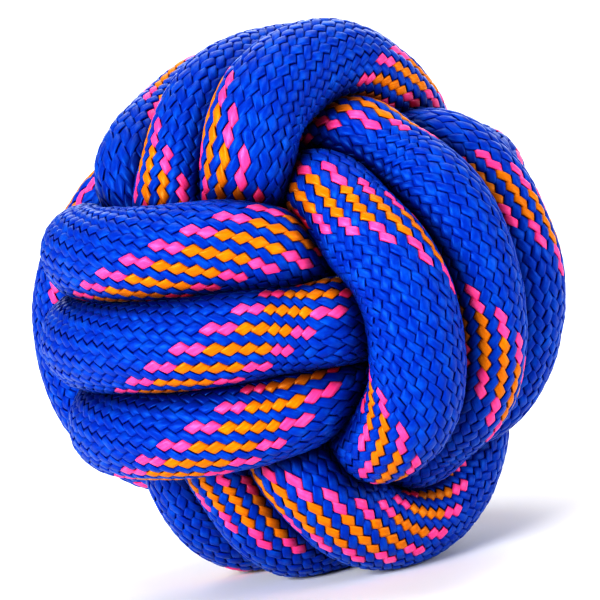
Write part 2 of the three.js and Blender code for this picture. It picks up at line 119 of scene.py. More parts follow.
@dataclass
class KnotLine:
    """The rope's middle line through the knot. Its lengths are in rope diameters."""

    ball_radius: float
    rope_radius: float = 0.5
    outer_reach: float = 2.495
    outer_side_drop: float = 0.118
    inner_reach: float = 1.618
    inner_side_drop: float = 0.25
    waist_depth: float = 0.2
    waist_waves: int = 3
    outer_pitch: float = 0.942
    inner_pitch: float = 0.858
    end_place: float = 1.36

    turns: int = 3
    sample_degrees: float = 2.0
    shift_degrees: float = 50.0
    trimmed_samples: int = 14
    join_pull: float = 0.633
    join_steps: int = 25
    spacing: float = 0.25

    own_reach: float = 1.4
    outer_spacing: float = 0.94
    inner_spacing: float = 0.78
    free_depth: float = 1.3
    held_depth: float = 2.0
    spacing_blend: float = 0.8
    straight_end: float = 1.0
    settle_steps: int = 160
    push: float = 0.5
    stiffness: float = 0.25
    slack: float = 0.12
    even: float = 0.25
    hold: float = 0.3

    def place_across(self, degrees: Array) -> Array:
        """Where the rope lies across its ring as it winds.

        Args:
            degrees: How far the ring has been wound.

        Returns:
            The place in pitches: one turn at -1, one at 0 and one at 1.
        """
        shift, full = self.shift_degrees, FULL_TURN * self.turns
        place = -1 + np.zeros_like(degrees)
        for turn in range(1, self.turns):
            place += smooth_step((degrees - FULL_TURN * turn + shift) / (2 * shift))
        extra = self.end_place - 1
        place -= extra * (1 - smooth_step(degrees / shift))
        return place + extra * smooth_step((degrees - full + shift) / shift)

    def ring(self, plan: RingPlan) -> Array:
        """One ring of the knot as even formula points.

        Args:
            plan: How the ring is tied.

        Returns:
            Points in order along the rope, one row each.
        """
        full = FULL_TURN * self.turns
        count = round((full + plan.early_degrees + plan.late_degrees) / self.sample_degrees)
        wound = -plan.early_degrees + self.sample_degrees * np.arange(count + 1)
        angle = np.radians(plan.start_degrees + plan.direction * wound)
        place = plan.across_sign * self.place_across(wound)
        number = np.clip(np.floor(wound / HALF_TURN).astype(int), 0, 2 * self.turns - 1)
        bulge = np.abs(np.cos(np.radians(wound - QUARTER_TURN - HALF_TURN * number)))
        lift = np.array(plan.lifts)[number] * bulge * np.sign(np.cos(angle))
        slide = np.array(plan.slides)[number] * bulge
        reach = self.outer_reach - self.outer_side_drop * place**2
        inner = self.inner_reach - self.inner_side_drop * np.minimum(place**2, 1)
        out = reach * np.cos(angle) + lift
        run = inner * np.sin(angle) + self.waist_depth * np.sin(self.waist_waves * angle) + slide
        pitch = self.inner_pitch + (self.outer_pitch - self.inner_pitch) * np.cos(angle) ** 2
        axes = np.array([plan.out_axis, plan.run_axis, plan.across_axis], float)
        return np.stack([out, run, place * pitch], axis=1) @ axes

    def join(self, before: Array, after: Array) -> Array:
        """The corner where the rope leaves one ring and starts the next.

        Args:
            before: The ring that ends.
            after: The ring that starts.

        Returns:
            The corner's points, without the two that it joins.
        """
        leave, arrive = before[-1] - before[-2], after[1] - after[0]
        ends = [
            before[-1],
            before[-1] + leave * self.join_pull / np.linalg.norm(leave),
            after[0] - arrive * self.join_pull / np.linalg.norm(arrive),
            after[0],
        ]
        t = (np.arange(1, self.join_steps) / self.join_steps)[:, None]
        weights = [(1 - t) ** 3, 3 * t * (1 - t) ** 2, 3 * t**2 * (1 - t), t**3]
        return sum(weight * end for weight, end in zip(weights, ends))

    def even_knot(self) -> Array:
        """The whole knot before it is drawn tight.

        Returns:
            Points at an even spacing from the rope's start to its finish.
        """
        cut = self.trimmed_samples
        belt = self.ring(BELT)[:-cut]
        wheel = self.ring(WHEEL)[cut:-cut]
        hoop = self.ring(HOOP)[cut:]
        line = np.concatenate([belt, self.join(belt, wheel), wheel, self.join(wheel, hoop), hoop])
        lengths = np.concatenate([[0], np.cumsum(np.linalg.norm(np.diff(line, axis=0), axis=1))])
        wanted = np.linspace(0, lengths[-1], round(lengths[-1] / self.spacing) + 1)
        return np.stack([np.interp(wanted, lengths, line[:, k]) for k in range(3)], axis=1)

    def push_apart(self, line: Array, first: Array, second: Array, wanted: Array) -> None:
        """Moves turns that lie too close away from each other.

        Args:
            line: The rope's points, which are moved.
            first: One point's number of each pair.
            second: The other point's number.
            wanted: The spacing that each pair wants.
        """
        between = line[first] - line[second]
        distance = np.sqrt((between**2).sum(axis=1))
        near = distance < wanted
        first, second, distance = first[near], second[near], np.maximum(distance[near], TINY)
        move = (self.push * (wanted[near] / distance - 1) / 2)[:, None] * between[near]
        moves, counts = np.zeros_like(line), np.zeros(len(line))
        for numbers, sign in ((first, 1), (second, -1)):
            counts += np.bincount(numbers, minlength=len(line))
            for k in range(3):
                moves[:, k] += sign * np.bincount(numbers, move[:, k], len(line))
        line += moves / np.sqrt(np.maximum(counts, 1))[:, None]

    def fair_bends(self, line: Array) -> None:
        """Eases the rope's bends, as its own stiffness does.

        Args:
            line: The rope's points, which are moved.
        """
        bends = np.zeros_like(line)
        bends[1:-1] = (line[:-2] + line[2:]) / 2 - line[1:-1]
        fair = bends.copy()
        fair[1:-1] -= (bends[:-2] + bends[2:]) / 2
        line += self.stiffness * (fair + self.slack * bends)

    def even_out(self, line: Array) -> None:
        """Lets rope slip along itself, so that no stretch stays longer than the rest.

        Args:
            line: The rope's points, which are moved.
        """
        spans = np.diff(line, axis=0)
        lengths = np.linalg.norm(spans, axis=1)
        slip = spans * (self.even * (lengths - lengths.mean()) / lengths)[:, None]
        line[:-1] += slip
        line[1:] -= slip

    def straighten_ends(self, line: Array) -> None:
        """Keeps the last diameter at each cut end straight.

        Args:
            line: The rope's points, which are moved.
        """
        count = round(self.straight_end / self.spacing)
        for end in (line, line[::-1]):
            shares = (np.arange(1, count) / count)[:, None]
            end[1:count] = end[0] * (1 - shares) + end[count] * shares

    def settled(self) -> Array:
        """The knot drawn tight.

        Returns:
            The rope's points in rope diameters, about the middle of the ball.
        """
        line = self.even_knot()
        home = line.copy()
        reach = np.abs(home).max(axis=1)
        held = (reach - self.free_depth) / (self.held_depth - self.free_depth)
        holds = (self.hold * smooth_step(held))[:, None]
        first, second = np.triu_indices(len(line), round(self.own_reach / self.spacing))
        depth = np.minimum(reach[first], reach[second])
        outside = smooth_step((depth - self.free_depth) / self.spacing_blend)
        wanted = self.inner_spacing + (self.outer_spacing - self.inner_spacing) * outside
        nearest = self.ball_radius + self.rope_radius
        for _ in range(self.settle_steps):
            self.push_apart(line, first, second, wanted)
            self.fair_bends(line)
            self.even_out(line)
            self.even_out(line)
            line += holds * (home - line)
            out = np.linalg.norm(line, axis=1)
            line *= np.where(out < nearest, 1 + (nearest / out - 1) / 2, 1)[:, None]
            self.straighten_ends(line)
        return line


@dataclass
class SoftRope:
    """The rope's soft skin: round where it is free, flat where it presses on something.

    The ball rests at its rest depth below its middle, and its lowest turns lie flat there.
    """

    rest_depth: float
    diameter: float = 12.0
    gap: float = 0.12
    rest_gap: float = 0.25
    ball_radius: float = 6.6
    own_reach: float = 16.8
    bend_share: float = 0.92
    spans: int = 6
    sides: int = 72
    soften_along: float = 2.0
    soften_round: float = 1.6
    soften_reach: float = 3.0
    most_slant: float = 1.5
    pressed_by_every: int = 2
    # How deep the skin lies in the hollows between stretches, which sets the painted shade there.
    hollow_by_every: int = 4
    hollow_reach: float = 3.2

    points: Array = field(init=False, repr=False)
    along: Array = field(init=False, repr=False)
    normals: Array = field(init=False, repr=False)
    binormals: Array = field(init=False, repr=False)
    bends: Array = field(init=False, repr=False)
    radii: Array = field(init=False, repr=False)
    slants: Array = field(init=False, repr=False)
    hollows: Array = field(init=False, repr=False)

    def __post_init__(self) -> None:
        """Works out the line, its frame and the skin once."""
        self.points = self.curve(KnotLine(self.ball_radius / self.diameter).settled())
        self.points *= self.diameter
        steps = np.linalg.norm(np.diff(self.points, axis=0), axis=1)
        self.along = np.concatenate([[0], np.cumsum(steps)])
        self.carry_frame()
        self.radii = self.softened(self.pressed_radii())
        self.slants = self.skin_slants()
        # The depth in the hollows, which darkens the yarn there as painted shade.
        self.hollows = self.skin_hollows()

    @property
    def length(self) -> float:
        """The rope's length along its middle."""
        return float(self.along[-1])

    def curve(self, knots: Array) -> Array:
        """A smooth curve through points.

        Args:
            knots: The points that it passes through.

        Returns:
            Points on the curve, so many to each span.
        """
        first, last = 2 * knots[0] - knots[1], 2 * knots[-1] - knots[-2]
        held = np.concatenate([[first], knots, [last]])
        t = np.arange((len(knots) - 1) * self.spans + 1) / self.spans
        span = np.minimum(t.astype(int), len(knots) - 2)
        f = (t - span)[:, None]
        a, b, c, d = (held[span + k] for k in range(4))
        bend = (2 * a - 5 * b + 4 * c - d) * f**2 + (3 * b - a - 3 * c + d) * f**3
        return (2 * b + (c - a) * f + bend) / 2

    def carry_frame(self) -> None:
        """Carries a frame along the rope without twisting it, and measures the bends."""
        tangents = np.gradient(self.points, axis=0)
        tangents /= np.linalg.norm(tangents, axis=1)[:, None]
        self.normals = np.zeros_like(self.points)
        first = np.cross(tangents[0], (0.0, 0.0, 1.0))
        self.normals[0] = first / np.linalg.norm(first)
        for i in range(1, len(self.points)):
            carried = self.normals[i - 1] - (self.normals[i - 1] @ tangents[i]) * tangents[i]
            self.normals[i] = carried / np.linalg.norm(carried)
        self.binormals = np.cross(tangents, self.normals)
        self.bends = np.gradient(tangents, axis=0) / np.gradient(self.along)[:, None]

    def directions(self, index: int) -> Array:
        """The outward directions round the rope at one point of its line.

        Args:
            index: The point's number.

        Returns:
            One unit direction for each side of the skin.
        """
        turns = angles_round(self.sides)
        flat = np.cos(turns)[:, None] * self.normals[index]
        return flat + np.sin(turns)[:, None] * self.binormals[index]

    def near_stretches(self, index: int, every: int, reach: float) -> Array:
        """Points of other stretches of rope that lie near one point of its line.

        Args:
            index: The point's number.
            every: Reads one point of the line in so many.
            reach: How near, from middle to middle.

        Returns:
            The points, one row each.
        """
        others = self.points[::every]
        near = ((others - self.points[index]) ** 2).sum(axis=1) < reach**2
        near &= np.abs(self.along[::every] - self.along[index]) > self.own_reach
        return others[near]

    def pressed_radii(self) -> Array:
        """Distances from the middle line to the skin, before it is softened.

        Returns:
            A grid with a row for each point of the line and a column for each side.
        """
        radius = self.diameter / 2
        radii = np.full((len(self.points), self.sides), radius)
        reach, keep = self.diameter + self.gap, self.ball_radius + self.gap
        for i, centre in enumerate(self.points):
            ways = self.directions(i)
            between = self.near_stretches(i, self.pressed_by_every, reach) - centre
            if len(between):
                towards = np.maximum(ways @ between.T, TINY)
                squared = (between**2).sum(axis=1)
                room = squared - self.gap * np.sqrt(squared)
                radii[i] = np.minimum(radii[i], (room / (2 * towards)).min(axis=1))
            bend = np.maximum(ways @ self.bends[i], TINY)
            radii[i] = np.minimum(radii[i], self.bend_share / bend)
            inward = -ways @ centre
            under = keep**2 - centre @ centre + inward**2
            meets = (inward > 0) & (under > 0)
            to_ball = inward - np.sqrt(np.maximum(under, 0))
            radii[i] = np.where(meets, np.minimum(radii[i], to_ball), radii[i])
            above = self.rest_depth - self.rest_gap + centre[2]
            radii[i] = np.minimum(radii[i], above / np.maximum(-ways[:, 2], TINY))
        return radii

    def softened(self, radii: Array) -> Array:
        """Rounds the shoulders between the free skin and its flats.

        Args:
            radii: The skin's grid of distances.

        Returns:
            The same grid, blurred a little each way.
        """
        for axis, width in ((0, self.soften_along), (1, self.soften_round)):
            reach = math.ceil(self.soften_reach * width)
            weights = np.exp(-0.5 * (np.arange(-reach, reach + 1) / width) ** 2)
            weights /= weights.sum()
            pad = [(0, 0), (0, 0)]
            pad[axis] = (reach, reach)
            padded = np.pad(radii, pad, mode="edge" if axis == 0 else "wrap")
            size = radii.shape[axis]
            shifted = [padded.take(range(k, k + size), axis=axis) for k in range(len(weights))]
            radii = sum(weight * part for weight, part in zip(weights, shifted))
        return radii

    def skin_slants(self) -> Array:
        """How much longer a way through the skin is along its ray than square to the skin.

        Returns:
            A grid of factors from 1 up.
        """
        wedge = 2 * np.pi / self.sides
        slope = (np.roll(self.radii, -1, axis=1) - np.roll(self.radii, 1, axis=1)) / (2 * wedge)
        return np.minimum(np.sqrt(1 + (slope / self.radii) ** 2), self.most_slant)

    def skin_hollows(self) -> Array:
        """How deep the skin lies in the hollows between stretches of rope, for the painted shade there.

        Returns:
            A grid from 0 in the open to 1 where another stretch touches.
        """
        hollows = np.zeros_like(self.radii)
        reach = self.diameter + self.hollow_reach
        for i, centre in enumerate(self.points):
            others = self.near_stretches(i, self.hollow_by_every, reach)
            if len(others):
                skin = centre + self.directions(i) * self.radii[i][:, None]
                away = np.linalg.norm(skin[:, None] - others, axis=2).min(axis=1)
                hollows[i] = 1 - smooth_step((away - self.diameter / 2) / self.hollow_reach)
        return hollows

    def row_share(self, along: Array) -> tuple[Array, Array]:
        """Where distances along the rope fall between the points of its line.

        Args:
            along: Distances along the rope's middle.

        Returns:
            The number of the point before each, and the share of the way to the next.
        """
        place = np.interp(along, self.along, np.arange(len(self.along)))
        row = np.minimum(place.astype(int), len(self.along) - 2)
        return row, place - row

    def read(self, grid: Array, along: Array, turn: Array) -> Array:
        """A grid's values between its four nearest corners.

        Args:
            grid: A row for each point of the line and a column for each side.
            along: Distances along the rope's middle.
            turn: Angles round it, in radians.

        Returns:
            One value for each place.
        """
        row, f = self.row_share(along)
        side = np.mod(turn, 2 * np.pi) * self.sides / (2 * np.pi)
        column = side.astype(int) % self.sides
        after = (column + 1) % self.sides
        g = side - np.floor(side)
        low = grid[row, column] * (1 - g) + grid[row, after] * g
        high = grid[row + 1, column] * (1 - g) + grid[row + 1, after] * g
        return low * (1 - f) + high * f

    def at(self, along: Array, turn: Array, height: Array) -> Array:
        """Points on the rope.

        Args:
            along: Distances along the rope's middle.
            turn: Angles round it, in radians.
            height: Heights over the skin; below 0 lies inside the rope.

        Returns:
            One point in the last axis for each place.
        """
        row, f = self.row_share(along)

        def carried(values: Array) -> Array:
            """The line's values between its two nearest points."""
            return values[row] * (1 - f)[..., None] + values[row + 1] * f[..., None]

        out = self.read(self.radii, along, turn) + height * self.read(self.slants, along, turn)
        way = np.cos(turn)[..., None] * carried(self.normals)
        way += np.sin(turn)[..., None] * carried(self.binormals)
        return carried(self.points) + way * out[..., None]


@dataclass(frozen=True)
class Solid:
    """A mesh before it becomes an object, in millimetres about the middle of the ball.

    Each corner of its quads has a place on the yarn's strip, and each point says how deep it lies
    in a hollow between two stretches of rope, which sets how much painted shade it gets.
    """

    points: Array
    quads: Array
    caps: list[list[int]]
    strip: Array
    hollows: Array

    def build(
        self, name: str, middle: Vector, material: bpy.types.Material, node: str, slot: str
    ) -> bpy.types.Object:
        """Makes the object at its place in the frame, as a piece that doesn't move on its own.

        Args:
            name: The piece's name.
            middle: The middle of the ball, in metres.
            material: Its finish.
            node: The CAD node that it replaces.
            slot: The slot of its material; not used.

        Returns:
            The linked object.
        """
        mesh = bpy.data.meshes.new(name)
        sizes = np.concatenate([np.full(len(self.quads), 4), [len(cap) for cap in self.caps]])
        corners = np.concatenate([self.quads.ravel(), *self.caps]).astype(np.int32)
        mesh.vertices.add(len(self.points))
        mesh.vertices.foreach_set("co", (self.points * METRES_PER_MM + np.array(middle)).ravel())
        mesh.loops.add(len(corners))
        mesh.loops.foreach_set("vertex_index", corners)
        mesh.polygons.add(len(sizes))
        starts = np.concatenate([[0], np.cumsum(sizes)[:-1]]).astype(np.int32)
        mesh.polygons.foreach_set("loop_start", starts)
        mesh.polygons.foreach_set("use_smooth", np.ones(len(sizes), bool))
        mesh.update(calc_edges=True)
        layer = mesh.uv_layers.new(name="yarn")
        laid = np.zeros((len(corners), 2), np.float32)
        laid[: self.strip.size // 2] = self.strip.reshape(-1, 2)
        layer.data.foreach_set("uv", laid.ravel())
        # Each point's depth in a hollow, which the material darkens as painted shade.
        shade = mesh.attributes.new("hollow", "FLOAT", "POINT")
        shade.data.foreach_set("value", self.hollows.astype(np.float32))
        mesh.materials.append(material)
        piece = bpy.data.objects.new(name, mesh)
        bpy.context.scene.collection.objects.link(piece)
        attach(piece, "root")
        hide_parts(node)
        return piece


def tube(rings: Array, first: int, along: Array, around: Array, hollows: Array | None = None) -> Solid:
    """A closed tube through rings of points.

    Args:
        rings: Ring, side and coordinate.
        first: The number of its first point.
        along: The strip coordinate of each ring.
        around: The strip coordinate of each side, with one more at the end.
        hollows: Each point's depth in a hollow, for painted shade; none where the tube is inside the
            rope.

    Returns:
        The tube, with its faces outward where the sides turn right-handed about its run.
    """
    count, sides = rings.shape[:2]
    ring = np.arange(count - 1)[:, None] * sides + first
    side = np.arange(sides)[None, :]
    after = (side + 1) % sides
    quads = np.stack([ring + side, ring + after, ring + sides + after, ring + sides + side], axis=-1)
    u = np.stack([along[:-1], along[:-1], along[1:], along[1:]], axis=-1)[:, None, :]
    v = np.stack([around[:-1], around[1:], around[1:], around[:-1]], axis=-1)[None, :, :]
    strip = np.stack(np.broadcast_arrays(u, v), axis=-1)
    last = first + (count - 1) * sides
    caps = [list(range(first + sides - 1, first - 1, -1)), list(range(last, last + sides))]
    if hollows is None:
        hollows = np.zeros((count, sides))
    points, quads, strip = rings.reshape(-1, 3), quads.reshape(-1, 4), strip.reshape(-1, 4, 2)
    return Solid(points, quads, caps, strip, hollows.ravel())


def joined(solids: list[Solid]) -> Solid:
    """Several solids as one.

    Args:
        solids: Tubes whose point numbers already follow on from each other.

    Returns:
        One solid that holds them all.
    """
    return Solid(
        np.concatenate([solid.points for solid in solids]),
        np.concatenate([solid.quads for solid in solids]),
        [cap for solid in solids for cap in solid.caps],
        np.concatenate([solid.strip for solid in solids]),
        np.concatenate([solid.hollows for solid in solids]),
    )


@dataclass(frozen=True)
class Grain:
    """The size and fineness of a cloudy pattern."""

    scale: float
    detail: float
    roughness: float = 0.5


class NodeTree:
    """A material's nodes, added and linked one at a time."""

    def __init__(self, name: str) -> None:
        """Starts a material with an output and nothing else.

        Args:
            name: The material's name.
        """
        self.material = bpy.data.materials.new(name)
        self.material.use_nodes = True
        self.tree = self.material.node_tree
        self.tree.nodes.clear()
        self.output = self.tree.nodes.new("ShaderNodeOutputMaterial")

    def add(self, kind: str, inputs: dict | None = None, **settings: object) -> bpy.types.Node:
        """Adds a node.

        Args:
            kind: Its Blender type.
            inputs: For each input, by name or number, a value or the output socket that feeds it.
                A colour of three parts is given a full fourth one.
            **settings: Its own properties.

        Returns:
            The node.
        """
        node = self.tree.nodes.new(kind)
        for key, value in settings.items():
            setattr(node, key, value)
        for key, value in (inputs or {}).items():
            if isinstance(value, bpy.types.NodeSocket):
                self.tree.links.new(value, node.inputs[key])
            else:
                opaque = isinstance(value, tuple) and len(value) < len(node.inputs[key].default_value)
                node.inputs[key].default_value = (*value, 1.0) if opaque else value
        return node

    def math(self, operation: str, first: object, second: object) -> bpy.types.NodeSocket:
        """Works out a number.

        Args:
            operation: What to do.
            first: A value or a socket.
            second: Another; operations on one number ignore it.

        Returns:
            The result's socket.
        """
        return self.add("ShaderNodeMath", {0: first, 1: second}, operation=operation).outputs[0]

    def mix(self, share: object, first: Colour, second: Colour) -> bpy.types.NodeSocket:
        """Mixes two colours.

        Args:
            share: How much of the second, as a socket.
            first: The colour at 0.
            second: The colour at 1.

        Returns:
            The mixed colour's socket.
        """
        node = self.add("ShaderNodeMix", {0: share, 6: first, 7: second}, data_type="RGBA")
        return node.outputs[2]

    def spread(self, value: object, read: Pair, given: Pair, way: str) -> bpy.types.NodeSocket:
        """Spreads one range of values over another.

        Args:
            value: The socket that is read.
            read: The two values between which the result changes.
            given: The result at each of them.
            way: How it goes from one to the other, as Blender calls it.

        Returns:
            The result's socket.
        """
        inputs = {"Value": value, "From Min": read[0], "From Max": read[1]}
        inputs |= {"To Min": given[0], "To Max": given[1]}
        return self.add("ShaderNodeMapRange", inputs, interpolation_type=way).outputs[0]

    def noise(self, grain: Grain, place: object = None) -> bpy.types.NodeSocket:
        """Adds a cloudy pattern.

        Args:
            grain: Its size and fineness.
            place: The socket of the coordinates that it reads; the box round the piece when
                none is given.

        Returns:
            The pattern's socket.
        """
        inputs = {"Scale": grain.scale, "Detail": grain.detail, "Roughness": grain.roughness}
        if place is not None:
            inputs["Vector"] = place
        return self.add("ShaderNodeTexNoise", inputs).outputs[0]

    def on_piece(self) -> bpy.types.NodeSocket:
        """The coordinates on the piece itself, in metres."""
        return self.add("ShaderNodeTexCoord").outputs["Object"]

    def bump(self, height: object, strength: float, depth: float) -> bpy.types.NodeSocket:
        """Raises a surface by a pattern.

        Args:
            height: The pattern's socket.
            strength: How much of it shows.
            depth: Its depth in metres.

        Returns:
            The socket of the raised surface's direction.
        """
        inputs = {"Height": height, "Strength": strength, "Distance": depth}
        return self.add("ShaderNodeBump", inputs).outputs[0]

    def finish(self, inputs: dict) -> bpy.types.Material:
        """Adds the shader and links it to the output.

        Args:
            inputs: For each of the shader's named inputs, a value or a socket.

        Returns:
            The finished material.
        """
        shader = self.add("ShaderNodeBsdfPrincipled", inputs)
        self.tree.links.new(shader.outputs[0], self.output.inputs["Surface"])
        return self.material


@dataclass(frozen=True)
class YarnFinish:
    """Satin multifilament yarn: bright on top of each float, with painted shade where it dives and at
    its edges.

    Its strip runs in crossings along the yarn from a float's middle, and once round the yarn.
    Where the yarn lies deep in a hollow between two stretches of rope it is darkened as painted shade.
    """

    name: str
    # The deep colour is painted shade, where a float dives and at its edges.
    deep: Colour
    bright: Colour
    # The lighter colour of cloudy patches: partly abrasion of the yarn, partly painted highlight.
    wear_and_glint: Colour
    rim: Colour
    roughness: float = 0.4
    sheen: float = 0.1
    sheen_roughness: float = 0.4
    specular: float = 0.45
    gloss_stretch: float = 0.7
    # Where the painted shade falls: along each float towards its ends, and across it towards its edges.
    half_repeat: float = 2.0
    float_end: float = 1.1
    end_fade: float = 0.45
    top_place: float = 0.357
    edge_place: float = 0.4
    edge_fade: float = 0.2
    filaments: float = 9.0
    filament_run: float = 0.5
    filament_grain: Grain = Grain(1.0, 2.0, 0.6)
    filament_range: Pair = (0.32, 0.68)
    filament_share: float = 0.3
    filament_depth: float = 0.00003
    filament_strength: float = 0.5
    # The cloudy lighter patches, partly abrasion and partly painted highlight on the satin floats.
    wear_and_glint_grain: Grain = Grain(600.0, 3.0)
    wear_and_glint_range: Pair = (0.45, 0.75)
    most_wear_and_glint: float = 0.8
    # Painted shade in the hollows: there the colour falls to this share of the deep colour.
    hollow_shade_share: float = 0.3

    def float_top(self, nodes: NodeTree, strip: bpy.types.Node) -> bpy.types.NodeSocket:
        """How near a point is to the top of a float, which sets where the painted shade falls.

        Args:
            nodes: The material's nodes.
            strip: The node that reads the yarn's own strip.

        Returns:
            A socket: 1 on top, 0 at the edges and where the yarn dives.
        """
        place = nodes.add("ShaderNodeSeparateXYZ", {"Vector": strip.outputs[0]})
        away = nodes.math("PINGPONG", place.outputs[0], self.half_repeat)
        round_share = nodes.math("FRACT", place.outputs[1], 0.0)
        across = nodes.math("ABSOLUTE", nodes.math("SUBTRACT", round_share, self.top_place), 0.0)
        end, edge = self.float_end, self.edge_place
        along = nodes.spread(away, (end - self.end_fade, end), (1.0, 0.0), "SMOOTHSTEP")
        over = nodes.spread(across, (edge - self.edge_fade, edge), (1.0, 0.0), "SMOOTHSTEP")
        return nodes.math("MULTIPLY", along, over)

    def material(self) -> bpy.types.Material:
        """Builds the finish.

        Returns:
            The material.
        """
        nodes = NodeTree(self.name)
        strip = nodes.add("ShaderNodeUVMap", uv_map="yarn")
        stretch = (self.filament_run, self.filaments, 1.0)
        run = nodes.add("ShaderNodeMapping", {"Vector": strip.outputs[0], "Scale": stretch})
        filaments = nodes.noise(self.filament_grain, run.outputs[0])
        lines = nodes.spread(filaments, self.filament_range, (1 - self.filament_share, 1.0), "LINEAR")
        # Cloudy lighter patches: partly abrasion of the yarn, partly painted highlight on the satin
        # floats.
        wear_and_glint_cloud = nodes.noise(self.wear_and_glint_grain, nodes.on_piece())
        wear_and_glint = nodes.spread(wear_and_glint_cloud, self.wear_and_glint_range, (0.0, self.most_wear_and_glint), "LINEAR")
        # Painted shade: the deep colour where the float dives and at its edges, the bright one on top.
        top = nodes.math("MULTIPLY", self.float_top(nodes, strip), lines)
        colour = nodes.mix(top, self.deep, nodes.mix(wear_and_glint, self.bright, self.wear_and_glint))
        # Painted shade: the deep colour, darker still, in the hollows between stretches of rope.
        hollow = nodes.add("ShaderNodeAttribute", attribute_name="hollow").outputs["Fac"]
        colour = nodes.mix(hollow, colour, tuple(self.hollow_shade_share * part for part in self.deep))
        along = nodes.add("ShaderNodeTangent", direction_type="UV_MAP", uv_map="yarn")
        return nodes.finish(
            {
                "Base Color": colour,
                "Roughness": self.roughness,
                "Sheen Weight": self.sheen,
                "Sheen Roughness": self.sheen_roughness,
                "Sheen Tint": self.rim,
                "Specular IOR Level": self.specular,
                "Specular Tint": self.rim,
                "Anisotropic": self.gloss_stretch,
                "Tangent": along.outputs[0],
                "Normal": nodes.bump(lines, self.filament_strength, self.filament_depth),
            }
        )


class YarnColour(Enum):
    """The colours of yarn on the braiding carriers."""

    # Each colour's deep part is painted shade; its lighter cloudy patches are partly abrasion and
    # partly painted highlight.
    BLUE = YarnFinish(
        "blue_yarn", deep=(0.0, 0.0, 0.19), bright=(0.0, 0.032, 0.31),
        wear_and_glint=(0.003, 0.098, 0.48), rim=(0.05, 0.3, 1.0),
    )
    PINK = YarnFinish(
        "pink_yarn", deep=(0.5, 0.0, 0.02), bright=(0.78, 0.06, 0.27),
        wear_and_glint=(0.88, 0.12, 0.38), rim=(1.0, 0.4, 0.8),
    )
    ORANGE = YarnFinish(
        "orange_yarn", deep=(0.22, 0.025, 0.0), bright=(0.58, 0.16, 0.0),
        wear_and_glint=(0.72, 0.24, 0.0), rim=(1.0, 0.6, 0.2),
    )


